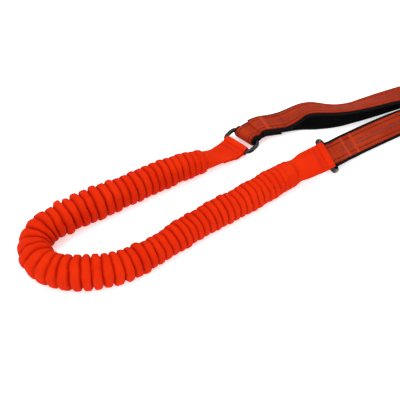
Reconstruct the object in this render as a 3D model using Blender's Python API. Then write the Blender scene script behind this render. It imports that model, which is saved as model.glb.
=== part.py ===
"""Shock absorbing lanyard: a gathered elastic sleeve bent in a U, two steel rings, and two webbing
straps that each end in a double-action snap hook. Metres, +Z up, lying on its floor at z = 0."""

import math

import bmesh
import bpy
import numpy as np
from mathutils import Matrix, Vector

# Gathered sleeve: its route runs from end a, round the bend, to end b: x, y and outer diameter.
SLEEVE_ROUTE = [
    (-0.118, -0.0225, 0.0235),
    (-0.139, -0.0330, 0.0272),
    (-0.157, -0.0430, 0.0283),
    (-0.176, -0.0540, 0.0290),
    (-0.194, -0.0650, 0.0298),
    (-0.212, -0.0755, 0.0303),
    (-0.230, -0.0860, 0.0310),
    (-0.246, -0.0970, 0.0310),
    (-0.259, -0.1090, 0.0310),
    (-0.265, -0.1250, 0.0300),
    (-0.258, -0.1430, 0.0305),
    (-0.241, -0.1530, 0.0310),
    (-0.223, -0.1550, 0.0314),
    (-0.205, -0.1530, 0.0308),
    (-0.188, -0.1480, 0.0292),
    (-0.171, -0.1385, 0.0280),
    (-0.154, -0.1265, 0.0270),
    (-0.137, -0.1125, 0.0272),
    (-0.119, -0.0990, 0.0276),
    (-0.101, -0.0865, 0.0280),
    (-0.082, -0.0742, 0.0281),
    (-0.064, -0.0612, 0.0281),
    (-0.046, -0.0475, 0.0274),
    (-0.036, -0.0405, 0.0262),
]
SLEEVE_WALL = 0.0026
SLEEVE_SIDES = 16
SLEEVE_STEP = 0.010
CORE_STEP = 0.012
CORE_SIDES = 8
CORE_INSET = 0.010  # how far inside the sleeve's mouths the elastic cords stop
ELASTIC_RADIUS = 0.0036
ELASTIC_SPACING = 0.0045  # from the sleeve's middle to each elastic cord's
SAFETY_WIDTH, SAFETY_THICKNESS = 0.0115, 0.0016
SAFETY_DROP = 0.0050  # the safety webbing runs this far below the sleeve's middle

# Flat sewn ends of the sleeve, from its mouth to the ring bar: x, y, z, roll, width and thickness.
END_A_ROUTE = [
    (-0.1065, -0.0163, 0.0110, -3, 0.0215, 0.0090),
    (-0.0985, -0.0107, 0.0091, -4, 0.0245, 0.0040),
]
END_B_ROUTE = [
    (-0.0250, -0.0335, 0.0170, 22, 0.0268, 0.0090),
    (-0.0170, -0.0302, 0.0195, 28, 0.0265, 0.0040),
]
END_MOUTH = 0.0005  # from the sleeve's mouth to its flat end's first section
END_WIDTH, END_THICKNESS = 0.0265, 0.0024
END_TAIL = 0.024  # sewn length of the fold-back
END_STEP = 0.0035

# Rings: round wire bent to an oblong. A bar's middle is half the short spacing from the ring's.
RING_WIRE = 0.0042
RING_INNER_LONG, RING_INNER_SHORT = 0.0285, 0.0120
RING_CORNER = 0.0054  # of the wire's middle
RING_SIDES, RING_CORNER_STEPS = 12, 5
BAR_SPACING = RING_INNER_SHORT + RING_WIRE
RING_A_MIDDLE, RING_A_HEADING, RING_A_ROLL = (-0.0792, 0.0087, 0.0077), 46, -4
RING_A_FOLD = -8  # how far the ring is folded down out of the webbing's plane, in degrees
RING_B_MIDDLE, RING_B_HEADING, RING_B_ROLL = (0.0011, -0.0215, 0.0180), 32.5, 28
RING_B_FOLD = 46

# Straps: black webbing with a narrower tracer webbing sewn on its upper face.
WEBBING_WIDTH, WEBBING_THICKNESS = 0.0260, 0.0020
TRACER_WIDTH, TRACER_THICKNESS = 0.0210, 0.0008
STRAP_TAIL = 0.028
GAP = 0.0003  # between touching pieces
BAR_CLEARANCE = 0.0008  # a loop's slack round its bar
STRAP_STEP = 0.008
# x, y, z of the webbing's middle and its roll about its own run (positive: right edge lower).
STRAP_A_ROUTE = [
    (-0.0600, 0.0262, 0.0095, -4),
    (-0.0510, 0.0300, 0.0079, -3),
    (-0.0400, 0.0343, 0.0058, -2),
    (-0.0290, 0.0389, 0.0038, -1),
    (-0.0180, 0.0425, 0.0020, 0),
    (-0.0030, 0.0440, 0.0011, 0),
    (0.0160, 0.0472, 0.0011, 0),
    (0.0340, 0.0535, 0.0011, 0),
    (0.0520, 0.0605, 0.0011, 0),
    (0.0720, 0.0690, 0.0011, 0),
    (0.0920, 0.0778, 0.0011, 0),
    (0.1120, 0.0868, 0.0016, 0),
    (0.1300, 0.0950, 0.0040, 0),
    (0.1420, 0.1006, 0.0064, 0),
]
STRAP_B_ROUTE = [
    (0.0190, -0.0055, 0.0118, 28),
    (0.0270, 0.0008, 0.0100, 28),
    (0.0450, 0.0123, 0.0092, 28),
    (0.0600, 0.0218, 0.0082, 27),
    (0.0740, 0.0302, 0.0076, 24),
    (0.0890, 0.0388, 0.0068, 18),
    (0.1050, 0.0466, 0.0056, 11),
    (0.1220, 0.0526, 0.0046, 5),
    (0.1350, 0.0558, 0.0054, 1),
    (0.1440, 0.0573, 0.0066, 0),
]
# The grab handle follows strap a's webbing: distance along it, lift, lean to the right and roll.
HANDLE_PROFILE = [
    (0.000, 0.0000, 0.0000, 0),
    (0.034, 0.0000, 0.0000, 0),
    (0.044, 0.0040, 0.0000, -3),
    (0.054, 0.0110, 0.0000, -7),
    (0.064, 0.0152, 0.0008, -12),
    (0.076, 0.0146, 0.0025, -18),
    (0.090, 0.0130, 0.0045, -22),
    (0.106, 0.0118, 0.0060, -22),
    (0.124, 0.0105, 0.0050, -16),
    (0.142, 0.0080, 0.0030, -12),
    (0.164, 0.0050, 0.0015, -8),
    (0.182, 0.0012, 0.0000, -2),
    (0.190, 0.0000, 0.0000, 0),
    (0.260, 0.0000, 0.0000, 0),
]
HANDLE_START, HANDLE_END = 0.003, 0.212

# Snap hooks, each in its own axes: x from the eye to the nose, y to the gate's side, z up.
HOOK_A_EYE, HOOK_A_HEADING = (0.1630, 0.1088, 0.0082), 25
HOOK_B_EYE, HOOK_B_HEADING = (0.1640, 0.0585, 0.0082), 3
HOOK_PITCH = 1.8  # the nose points down by this many degrees, to touch the floor
HOOK_THICKNESS = 0.008
EYE_BAR_X = -0.008  # the middle of the eye's end bar
EYE_LENGTH, EYE_WIDTH, EYE_CORNER = 0.022, 0.042, 0.008
EYE_SLOT_LENGTH, EYE_SLOT_WIDTH = 0.010, 0.028
HOOK_TOP_X = 0.086
HOOK_OUTER, HOOK_INNER = 0.022, 0.012
NOSE_X = 0.084
TONGUE_THICKNESS = 0.003
GATE_PIVOT = (0.028, 0.014)
GATE_TIP_X = NOSE_X - 0.0006
GATE_INNER_HALF, GATE_OUTER_HALF = 0.0034, 0.0045
GATE_ROOT_RADIUS, GATE_WEB = 0.0062, 0.0014
LEVER_PIVOT = (0.030, -0.027)
LEVER_INNER_HALF, LEVER_OUTER_HALF = 0.0034, 0.0045
PIN_RADIUS, PIN_HOLE_RADIUS = 0.0019, 0.0022
SPRING_WIRE, SPRING_RADIUS, SPRING_TURNS = 0.0003, 0.0027, 1.5
SPRING_HEIGHT = 0.0010
SPRING_LEG = 0.006


# ---------------------------------------------------------------- small helpers


def clear_scene():
    for thing in list(bpy.data.objects):
        bpy.data.objects.remove(thing)


def material(name, colour, roughness, metallic=0.0):
    made = bpy.data.materials.new(name)
    made.use_nodes = True
    shader = made.node_tree.nodes["Principled BSDF"]
    shader.inputs["Base Color"].default_value = (*colour, 1)
    shader.inputs["Roughness"].default_value = roughness
    shader.inputs["Metallic"].default_value = metallic
    made.diffuse_color = (*colour, 1)
    return made


def empty(name, place, parent=None, turn=None):
    made = bpy.data.objects.new(name, None)
    bpy.context.scene.collection.objects.link(made)
    world = Matrix.Translation(place)
    if turn is not None:
        world = world @ turn.to_4x4()
    made.parent = parent
    made.matrix_world = world
    bpy.context.view_layer.update()
    return made


def solid(name, points, faces, finish, parent, origin=None):
    """An object whose mesh is given in world space; its origin is its parent's place."""
    bpy.context.view_layer.update()
    frame = parent.matrix_world if parent else Matrix.Identity(4)
    if origin is not None:
        frame = Matrix.Translation(origin)
    local = [frame.inverted() @ Vector(p) for p in points]
    mesh = bpy.data.meshes.new(name)
    mesh.from_pydata(local, [], faces)
    tidy = bmesh.new()
    tidy.from_mesh(mesh)
    bmesh.ops.recalc_face_normals(tidy, faces=tidy.faces)
    tidy.to_mesh(mesh)
    tidy.free()
    mesh.materials.append(finish)
    made = bpy.data.objects.new(name, mesh)
    bpy.context.scene.collection.objects.link(made)
    made.parent = parent
    return made


def through(route, step):
    """Points about a step apart on a smooth curve through the route's points, in all their columns."""
    knots = np.array(route, float)
    gaps = np.linalg.norm(np.diff(knots[:, :2], axis=0), axis=1)
    along = np.concatenate([[0], np.cumsum(gaps)])
    slopes = np.gradient(knots, along, axis=0)
    count = max(2, round(along[-1] / step) + 1)
    made = []
    for s in np.linspace(0, along[-1], count):
        i = min(np.searchsorted(along, s, side="right") - 1, len(knots) - 2)
        h = along[i + 1] - along[i]
        t = (s - along[i]) / h
        made.append(
            (2 * t**3 - 3 * t**2 + 1) * knots[i]
            + (t**3 - 2 * t**2 + t) * h * slopes[i]
            + (3 * t**2 - 2 * t**3) * knots[i + 1]
            + (t**3 - t**2) * h * slopes[i + 1]
        )
    return np.array(made)


def tangents(points):
    run = np.gradient(np.array(points, float), axis=0)
    return run / np.linalg.norm(run, axis=1)[:, None]


def width_direction(run, roll):
    """Across a ribbon, to the right of its run; a positive roll lowers that edge."""
    right = np.cross(run, (0, 0, 1))
    right /= np.linalg.norm(right)
    upward = np.cross(right, run)
    angle = math.radians(roll)
    return math.cos(angle) * right - math.sin(angle) * upward


def loft(sections):
    """Points and faces of a closed solid through rings of equally many points. A strip's lower face is
    split as a mirror of its upper one, so that strips sewn face to face stay parallel where they twist."""
    n = len(sections[0])
    points = [tuple(p) for ring in sections for p in ring]
    faces = []
    for i in range(len(sections) - 1):
        for j in range(n):
            a, b = i * n + j, i * n + (j + 1) % n
            if 2 * j < n - 2:
                faces += [(a, b, a + n), (b, b + n, a + n)]
            else:
                faces += [(a, b, b + n), (a, b + n, a + n)]
    last = (len(sections) - 1) * n
    return points, [*faces, tuple(range(n))[::-1], tuple(range(last, last + n))]


def ribbon(middles, widths, width, thickness, offset=0.0):
    """A strip of webbing along its middle points, moved by offset along its upper face's normal."""
    sections = []
    for middle, across, run in zip(middles, widths, tangents(middles)):
        normal = np.cross(across, run)
        normal /= np.linalg.norm(normal)
        centre = middle + offset * normal
        side, up = across * width / 2, normal * thickness / 2
        sections.append([centre - side - up, centre + side - up, centre + side + up, centre - side + up])
    return loft(sections)


def outline_solid(outline, low, high):
    """A flat outline in x and y, made a solid from height low to height high."""
    return loft([[(x, y, low) for x, y in outline], [(x, y, high) for x, y in outline]])


def arc(x, y, radius, start, end, steps):
    angles = [math.radians(start + (end - start) * i / steps) for i in range(steps + 1)]
    return [(x + radius * math.cos(a), y + radius * math.sin(a)) for a in angles]


def placed(shape, frame):
    points, faces = shape
    return [tuple(frame @ Vector(p)) for p in points], faces


def cut_or_join(target, name, shape, parent, operation):
    """Adds a hidden helper body to the target by an exact Boolean."""
    helper = solid(name, *shape, target.data.materials[0], parent)
    helper.hide_render = True
    helper.display_type = "WIRE"
    change = target.modifiers.new(name, "BOOLEAN")
    change.operation = operation
    change.solver = "EXACT"
    change.object = helper
    helper.hide_set(True)


# ---------------------------------------------------------------- the sleeve and what is in it


def sleeve_path(step):
    """Middles of the gathered sleeve, lying on the floor, and its diameters."""
    rows = through(SLEEVE_ROUTE, step)
    middles = np.column_stack([rows[:, 0], rows[:, 1], rows[:, 2] / 2])
    return middles, rows[:, 2]


def round_sections(middles, radii, sides, aside=0.0, raised=0.0):
    made = []
    for middle, radius, run in zip(middles, radii, tangents(middles)):
        across = width_direction(run, 0)
        upward = np.cross(across, run)
        centre = middle + across * aside + upward * raised
        turns = [2 * math.pi * (k + 0.5) / sides for k in range(sides)]
        made.append([centre + radius * (math.cos(a) * across + math.sin(a) * upward) for a in turns])
    return made


def gathered_sleeve(finish, root):
    middles, diameters = sleeve_path(SLEEVE_STEP)
    facet = math.cos(math.pi / SLEEVE_SIDES)
    outer = round_sections(middles, diameters / 2 / facet, SLEEVE_SIDES)
    inner = round_sections(middles, diameters / 2 - SLEEVE_WALL, SLEEVE_SIDES)
    rings, n = [*outer, *inner[::-1]], SLEEVE_SIDES
    points = [tuple(p) for ring in rings for p in ring]
    count = len(rings)
    faces = [
        (i * n + j, i * n + (j + 1) % n, (i + 1) % count * n + (j + 1) % n, (i + 1) % count * n + j)
        for i in range(count)
        for j in range(n)
    ]
    return solid("gathered_sleeve", points, faces, finish, root)


def trimmed(middles, inset):
    along = np.concatenate([[0], np.cumsum(np.linalg.norm(np.diff(middles, axis=0), axis=1))])
    keep = (along > inset) & (along < along[-1] - inset)
    return middles[keep]


def sleeve_cores(rubber, polyester, root):
    middles = trimmed(sleeve_path(CORE_STEP)[0], CORE_INSET)
    radii = np.full(len(middles), ELASTIC_RADIUS)
    for name, side in (("elastic_cord_inner", -1), ("elastic_cord_outer", 1)):
        shape = loft(round_sections(middles, radii, CORE_SIDES, aside=side * ELASTIC_SPACING))
        solid(name, *shape, rubber, root)
    widths = [width_direction(run, 0) for run in tangents(middles)]
    shape = ribbon(middles, widths, SAFETY_WIDTH, SAFETY_THICKNESS, offset=-SAFETY_DROP)
    solid("safety_webbing", *shape, polyester, root)


def loop_round(bar, away, across, radius, half_gap, lead):
    """Middles of a strip that comes back under itself, goes round a bar and leaves it along away."""
    normal = np.cross(across, away)
    turns = np.radians(np.linspace(155, -155, 13) + 180)
    curve = [bar + radius * (math.cos(a) * away + math.sin(a) * normal) for a in turns]
    below, above = bar + lead * away - half_gap * normal, bar + lead * away + half_gap * normal
    if (curve[0] - bar) @ normal > 0:
        curve = curve[::-1]
    return [below, *curve, above]


def flat_section(middle, across, run, width, thickness, sides=12):
    """A section between an ellipse, when it is thick, and a rounded strip, when it is thin."""
    normal = np.cross(across, run)
    normal /= np.linalg.norm(normal)
    power = 0.55 + 0.45 * min(1.0, thickness / 0.018)
    made = []
    for k in range(sides):
        a = 2 * math.pi * (k + 0.5) / sides
        x = math.copysign(abs(math.cos(a)) ** power, math.cos(a))
        y = math.copysign(abs(math.sin(a)) ** power, math.sin(a))
        made.append(middle + across * x * width / 2 + normal * y * thickness / 2)
    return made


def mouth_stations(at_start):
    """The first two stations of a flat end, straight out of the sleeve's mouth."""
    middles, diameters = sleeve_path(SLEEVE_STEP)
    i, beside = (0, 1) if at_start else (-1, -2)
    outward = middles[i] - middles[beside]
    outward /= np.linalg.norm(outward)
    return [
        (*(middles[i] + outward * reach), 0, diameters[i] * share, diameters[i] * share)
        for reach, share in ((END_MOUTH, 0.97), (0.004, 0.94))
    ]


def sleeve_end(name, route, bar, heading, roll, finish, parent):
    """The sleeve's flat end: it leaves the round sleeve, folds round the ring's bar and is sewn to itself."""
    run = np.array([math.cos(math.radians(heading)), math.sin(math.radians(heading)), 0])
    across = width_direction(run, roll)
    half_gap = (END_THICKNESS + GAP) / 2
    radius = RING_WIRE / 2 + BAR_CLEARANCE + END_THICKNESS / 2
    lead = 0.009
    loop = loop_round(bar, -run, -across, radius, half_gap, lead)[::-1]
    normal = np.cross(across, run)
    if (loop[0] - bar) @ normal < 0:
        loop = loop[::-1]
    tail_end = bar - run * END_TAIL - normal * half_gap
    rows = [*through(route, END_STEP)]
    middles = [r[:3] for r in rows] + loop + [tail_end]
    sizes = [(r[4], r[5]) for r in rows] + [(END_WIDTH, END_THICKNESS)] * (len(loop) + 1)
    runs = tangents(middles)
    widths = [width_direction(t, r[3]) for t, r in zip(runs, rows)] + [across] * (len(loop) + 1)
    sections = [flat_section(m, w, t, *s) for m, w, t, s in zip(middles, widths, runs, sizes)]
    return solid(name, *loft(sections), finish, parent)


# ---------------------------------------------------------------- rings and straps


def ring_frame(middle, heading, roll, fold):
    """The ring's middle, its long direction, the direction from its first bar to its second, and the strap's run."""
    run = np.array([math.cos(math.radians(heading)), math.sin(math.radians(heading)), 0])
    across = width_direction(run, roll)
    normal = np.cross(across, run)
    angle = math.radians(fold)
    short = math.cos(angle) * run - math.sin(angle) * normal
    return np.array(middle), across, short, run


def oblong_ring(name, middle, across, short, finish, parent):
    x, y = (RING_INNER_LONG + RING_WIRE) / 2 - RING_CORNER, BAR_SPACING / 2 - RING_CORNER
    line = [
        *arc(x, y, RING_CORNER, 0, 90, RING_CORNER_STEPS),
        *arc(-x, y, RING_CORNER, 90, 180, RING_CORNER_STEPS),
        *arc(-x, -y, RING_CORNER, 180, 270, RING_CORNER_STEPS),
        *arc(x, -y, RING_CORNER, 270, 360, RING_CORNER_STEPS),
    ]
    centres = [middle + x * across + y * short for x, y in line]
    axis = np.cross(across, short)
    n, count = RING_SIDES, len(centres)
    points = []
    for i, centre in enumerate(centres):
        run = centres[(i + 1) % count] - centres[i - 1]
        outward = np.cross(run / np.linalg.norm(run), axis)
        for k in range(n):
            a = 2 * math.pi * k / n
            points.append(tuple(centre + RING_WIRE / 2 * (math.cos(a) * outward + math.sin(a) * axis)))
    faces = [
        (i * n + j, i * n + (j + 1) % n, (i + 1) % count * n + (j + 1) % n, (i + 1) % count * n + j)
        for i in range(count)
        for j in range(n)
    ]
    return solid(name, points, faces, finish, parent)


def strap_stations(route, ring_bar, ring_run, ring_across, hook_bar, hook_run, hook_across):
    """Middles and width directions of a strap from its ring tail, round both bars, to its hook tail."""
    half_gap = (WEBBING_THICKNESS + GAP) / 2
    ring_radius = RING_WIRE / 2 + BAR_CLEARANCE + WEBBING_THICKNESS / 2
    half_bar = (EYE_LENGTH - EYE_SLOT_LENGTH) / 4
    hook_radius = math.hypot(half_bar, HOOK_THICKNESS / 2) + BAR_CLEARANCE + WEBBING_THICKNESS / 2
    first = loop_round(ring_bar, ring_run, ring_across, ring_radius, half_gap, 0.009)
    last = loop_round(hook_bar, -hook_run, hook_across, hook_radius, half_gap, 0.015)
    if (first[0] - first[-1]) @ np.cross(ring_across, ring_run) > 0:
        first = first[::-1]
    if (last[0] - last[-1]) @ np.cross(hook_across, hook_run) < 0:
        last = last[::-1]
    roll_of = [r[3] for r in route]
    rows = through(
        [(*first[-1], roll_of[0]), *route, (*last[0], roll_of[-1])], STRAP_STEP
    )
    main = [r[:3] for r in rows]
    runs = tangents(main)
    main_widths = [width_direction(t, r[3]) for t, r in zip(runs, rows)]
    main_widths[0], main_widths[-1] = ring_across, hook_across
    down = 2 * half_gap
    along = np.concatenate([[0], np.cumsum(np.linalg.norm(np.diff(main, axis=0), axis=1))])
    normals = [np.cross(w, t) for w, t in zip(main_widths, runs)]
    below = [m - down * n for m, n in zip(main, normals)]
    near = [i for i, s in enumerate(along) if 0 < s <= STRAP_TAIL][::-1]
    far = [i for i, s in enumerate(along) if along[-1] - STRAP_TAIL <= s < along[-1]][::-1]
    middles = [below[i] for i in near] + first[:-1] + main + last[1:] + [below[i] for i in far]
    widths = (
        [main_widths[i] for i in near]
        + [ring_across] * (len(first) - 1)
        + main_widths
        + [hook_across] * (len(last) - 1)
        + [main_widths[i] for i in far]
    )
    start = len(near) + len(first) - 1
    return np.array(middles), widths, start, start + len(main)


def handle_stations(main, widths):
    """The grab handle's middles and width directions, on and above strap a's webbing."""
    runs = tangents(main)
    along = np.concatenate([[0], np.cumsum(np.linalg.norm(np.diff(main, axis=0), axis=1))])
    profile = np.array(HANDLE_PROFILE)
    made, made_widths = [], []
    for s in np.linspace(HANDLE_START, HANDLE_END, round((HANDLE_END - HANDLE_START) / STRAP_STEP) + 1):
        middle = np.array([np.interp(s, along, main[:, k]) for k in range(3)])
        run = np.array([np.interp(s, along, runs[:, k]) for k in range(3)])
        across = np.array([np.interp(s, along, np.array(widths)[:, k]) for k in range(3)])
        normal = np.cross(across, run)
        lift, lean, _ = (np.interp(s, profile[:, 0], profile[:, k]) for k in (1, 2, 3))
        made.append(middle + (WEBBING_THICKNESS + GAP + lift) * normal + lean * across)
        made_widths.append(across)
    made = np.array(made)
    stretch = np.linspace(HANDLE_START, HANDLE_END, len(made))
    for i, (s, run) in enumerate(zip(stretch, tangents(made))):
        roll = np.interp(s, profile[:, 0], profile[:, 3])
        if roll:
            made_widths[i] = width_direction(run, roll)
    return made, made_widths


# ---------------------------------------------------------------- snap hooks


def hook_outline():
    """The forged body's outline: the eye, the neck, the back, the bend and the nose."""
    eye_x = EYE_LENGTH / 2 - EYE_CORNER
    eye_y = EYE_WIDTH / 2 - EYE_CORNER
    return [
        *arc(-eye_x, -eye_y, EYE_CORNER, 180, 270, 4),
        (0.007, -EYE_WIDTH / 2),
        (0.016, -0.015),
        (0.024, -0.017),
        (0.034, -HOOK_OUTER),
        *arc(HOOK_TOP_X, 0, HOOK_OUTER, -90, 90, 14),
        (NOSE_X, HOOK_OUTER),
        (NOSE_X, HOOK_INNER),
        *arc(HOOK_TOP_X, 0, HOOK_INNER, 90, -90, 13),
        (0.040, -HOOK_INNER),
        (0.033, -0.007),
        (0.028, 0.000),
        (0.021, 0.004),
        (0.015, 0.010),
        (0.007, EYE_WIDTH / 2),
        *arc(-eye_x, eye_y, EYE_CORNER, 90, 180, 4),
    ]


def rounded_slot(length, width, corner):
    x, y = length / 2 - corner, width / 2 - corner
    return [
        *arc(x, y, corner, 0, 90, 3),
        *arc(-x, y, corner, 90, 180, 3),
        *arc(-x, -y, corner, 180, 270, 3),
        *arc(x, -y, corner, 270, 360, 3),
    ]


def disc(centre, radius, steps=20):
    return arc(*centre, radius, 0, 360, steps)[:-1]


def hook_body(side, frame, finish, parent):
    half, tongue = HOOK_THICKNESS / 2, TONGUE_THICKNESS / 2
    body = solid(f"hook_body_{side}", *placed(outline_solid(hook_outline(), -half, half), frame), finish, parent)
    gate_ear = [(0.011, 0.006), (0.022, -0.004), *arc(*GATE_PIVOT, 0.0042, -50, 140, 10)]
    lever_ear = [(0.037, -0.018), (0.022, -0.014), *arc(*LEVER_PIVOT, 0.0036, 160, 380, 10)]
    slot = rounded_slot(EYE_SLOT_LENGTH, EYE_SLOT_WIDTH, 0.002)
    for name, outline, reach, operation in (
        ("gate_ear", gate_ear, tongue, "UNION"),
        ("lever_ear", lever_ear, tongue, "UNION"),
        ("eye_slot", slot, 2 * half, "DIFFERENCE"),
        ("gate_bore", disc(GATE_PIVOT, PIN_HOLE_RADIUS), half, "DIFFERENCE"),
        ("lever_bore", disc(LEVER_PIVOT, PIN_HOLE_RADIUS), half, "DIFFERENCE"),
    ):
        shape = placed(outline_solid(outline, -reach, reach), frame)
        cut_or_join(body, f"cut_{name}_{side}", shape, parent, operation)
    return body


def gate(side, frame, finish, parent):
    """A pressed channel: two cheeks beside the ear, joined by a web, with a solid tip."""
    x, y = GATE_PIVOT
    top, tip_top, tip_low = y + GATE_ROOT_RADIUS, y + 0.0066, y - 0.0012
    channel = [*arc(x, y, GATE_ROOT_RADIUS, 90, 270, 8), (GATE_TIP_X, tip_low), (GATE_TIP_X, tip_top)]
    made = solid(
        f"gate_{side}",
        *placed(outline_solid(channel, -GATE_OUTER_HALF, GATE_OUTER_HALF), frame),
        finish,
        parent,
    )
    hollow = [
        (x - 0.010, y - 0.010),
        (GATE_TIP_X - 0.006, y - 0.010),
        (GATE_TIP_X - 0.006, tip_top - GATE_WEB),
        (x - 0.010, top - GATE_WEB),
    ]
    inside = placed(outline_solid(hollow, -GATE_INNER_HALF, GATE_INNER_HALF), frame)
    cut_or_join(made, f"cut_gate_channel_{side}", inside, parent, "DIFFERENCE")
    bore = placed(outline_solid(disc(GATE_PIVOT, PIN_HOLE_RADIUS), -0.006, 0.006), frame)
    cut_or_join(made, f"cut_gate_hole_{side}", bore, parent, "DIFFERENCE")
    return made


def lock_lever(side, frame, finish, parent):
    """The pressed lever behind the hook's back: cheeks at its pivot and a long thumb plate."""
    x, y = LEVER_PIVOT
    outline = [
        (x - 0.0050, y - 0.0045),
        (x + 0.0100, y - 0.0062),
        (x + 0.0300, y - 0.0062),
        (x + 0.0480, y - 0.0030),
        (x + 0.0482, y - 0.0014),
        (x + 0.0300, y - 0.0044),
        (x + 0.0110, y - 0.0044),
        (x + 0.0066, y + 0.0030),
        (x - 0.0040, y + 0.0030),
    ]
    made = solid(
        f"lock_lever_{side}",
        *placed(outline_solid(outline, -LEVER_OUTER_HALF, LEVER_OUTER_HALF), frame),
        finish,
        parent,
    )
    hollow = [(x - 0.008, y - 0.0036), (x + 0.0085, y - 0.0044), (x + 0.0085, y + 0.008), (x - 0.008, y + 0.008)]
    inside = placed(outline_solid(hollow, -LEVER_INNER_HALF, LEVER_INNER_HALF), frame)
    cut_or_join(made, f"cut_lever_channel_{side}", inside, parent, "DIFFERENCE")
    bore = placed(outline_solid(disc(LEVER_PIVOT, PIN_HOLE_RADIUS), -0.006, 0.006), frame)
    cut_or_join(made, f"cut_lever_hole_{side}", bore, parent, "DIFFERENCE")
    return made


def pin(name, pivot, frame, finish, parent):
    shape = outline_solid(disc(pivot, PIN_RADIUS, 16), -GATE_OUTER_HALF, GATE_OUTER_HALF)
    return solid(name, *placed(shape, frame), finish, parent)


def torsion_spring(name, pivot, legs, frame, finish, parent):
    """A small coil round a pin, beside the ear, with a straight leg at each end."""
    low = TONGUE_THICKNESS / 2 + GAP + SPRING_WIRE
    start, end = legs
    sweep = 360 * SPRING_TURNS + (end - start)
    steps = 20
    line = []
    for i in range(steps + 1):
        a = math.radians(start + sweep * i / steps)
        line.append((math.cos(a) * SPRING_RADIUS, math.sin(a) * SPRING_RADIUS, low + SPRING_HEIGHT * i / steps))
    first, last = math.radians(start), math.radians(start + sweep)
    lead_in = (
        line[0][0] + SPRING_LEG * math.sin(first),
        line[0][1] - SPRING_LEG * math.cos(first),
        line[0][2],
    )
    lead_out = (
        line[-1][0] - SPRING_LEG * math.sin(last),
        line[-1][1] + SPRING_LEG * math.cos(last),
        line[-1][2],
    )
    centres = np.array([lead_in, *line, lead_out]) + np.array([*pivot, 0])
    sections = []
    for centre, run in zip(centres, tangents(centres)):
        side = np.cross(run, (0, 0, 1))
        side /= np.linalg.norm(side)
        other = np.cross(side, run)
        turns = [2 * math.pi * k / 6 for k in range(6)]
        sections.append([centre + SPRING_WIRE * (math.cos(a) * side + math.sin(a) * other) for a in turns])
    return solid(name, *placed(loft(sections), frame), finish, parent)


def snap_hook(side, eye, heading, finishes, strap_empty):
    """A whole snap hook on its strap: everything is drawn in the hook's own axes, then placed."""
    turn = Matrix.Rotation(math.radians(heading), 3, "Z") @ Matrix.Rotation(math.radians(HOOK_PITCH), 3, "Y")
    frame = Matrix.Translation(eye) @ turn.to_4x4() @ Matrix.Translation((-EYE_BAR_X, 0, 0))
    hinge = empty(f"hook_{side}_hinge", eye, strap_empty, turn)
    gate_hinge = empty(f"gate_{side}_hinge", frame @ Vector((*GATE_PIVOT, 0)), hinge, turn)
    lever_hinge = empty(f"lever_{side}_hinge", frame @ Vector((*LEVER_PIVOT, 0)), hinge, turn)
    hook_body(side, frame, finishes["forging"], hinge)
    gate(side, frame, finishes["plated"], gate_hinge)
    lock_lever(side, frame, finishes["plated"], lever_hinge)
    pin(f"gate_pin_{side}", GATE_PIVOT, frame, finishes["pin"], hinge)
    pin(f"lever_pin_{side}", LEVER_PIVOT, frame, finishes["pin"], hinge)
    torsion_spring(f"gate_spring_{side}", GATE_PIVOT, (210, 330), frame, finishes["spring"], hinge)
    torsion_spring(f"lever_spring_{side}", LEVER_PIVOT, (150, 240), frame, finishes["spring"], hinge)


# ---------------------------------------------------------------- assembly


def half_lanyard(side, ring_values, end_route, strap_route, hook_values, finishes, root):
    """Everything beyond one end of the gathered sleeve."""
    middle, across, short, run = ring_frame(*ring_values)
    end_bar, strap_bar = middle - short * BAR_SPACING / 2, middle + short * BAR_SPACING / 2
    eye, heading = hook_values
    hook_run = np.array([math.cos(math.radians(heading)), math.sin(math.radians(heading)), 0])
    hook_across = width_direction(hook_run, 0)

    end_route = [*mouth_stations(side == "a"), *end_route]
    slide = empty(f"end_{side}_slide", end_route[0][:3], root)
    ring_hinge = empty(f"ring_{side}_hinge", end_bar, slide)
    strap_hinge = empty(f"strap_{side}_hinge", strap_bar, ring_hinge)
    sleeve_end(f"sleeve_end_{side}", end_route, end_bar, ring_values[1], ring_values[2], finishes["sleeve"], slide)
    oblong_ring(f"ring_{side}", middle, across, short, finishes["ring"], ring_hinge)

    middles, widths, start, stop = strap_stations(
        strap_route, strap_bar, run, across, np.array(eye), hook_run, hook_across
    )
    webbing = ribbon(middles, widths, WEBBING_WIDTH, WEBBING_THICKNESS)
    solid(f"strap_{side}_webbing", *webbing, finishes["webbing"], strap_hinge)
    on_top = (WEBBING_THICKNESS + TRACER_THICKNESS) / 2 + GAP
    main, main_widths = middles[start:stop], widths[start:stop]
    if side == "a":
        handle, handle_widths = handle_stations(main, main_widths)
        shape = ribbon(handle, handle_widths, WEBBING_WIDTH, WEBBING_THICKNESS)
        solid("grab_handle_webbing", *shape, finishes["webbing"], strap_hinge)
        shape = ribbon(handle, handle_widths, TRACER_WIDTH, TRACER_THICKNESS, on_top)
        solid("grab_handle_tracer", *shape, finishes["tracer"], strap_hinge)
        along = np.concatenate([[0], np.cumsum(np.linalg.norm(np.diff(main, axis=0), axis=1))])
        beyond = along > HANDLE_END + 0.004
        main, main_widths = main[beyond], [w for w, b in zip(main_widths, beyond) if b]
    shape = ribbon(main, main_widths, TRACER_WIDTH, TRACER_THICKNESS, on_top)
    solid(f"strap_{side}_tracer", *shape, finishes["tracer"], strap_hinge)
    snap_hook(side, eye, heading, finishes, strap_hinge)


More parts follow.
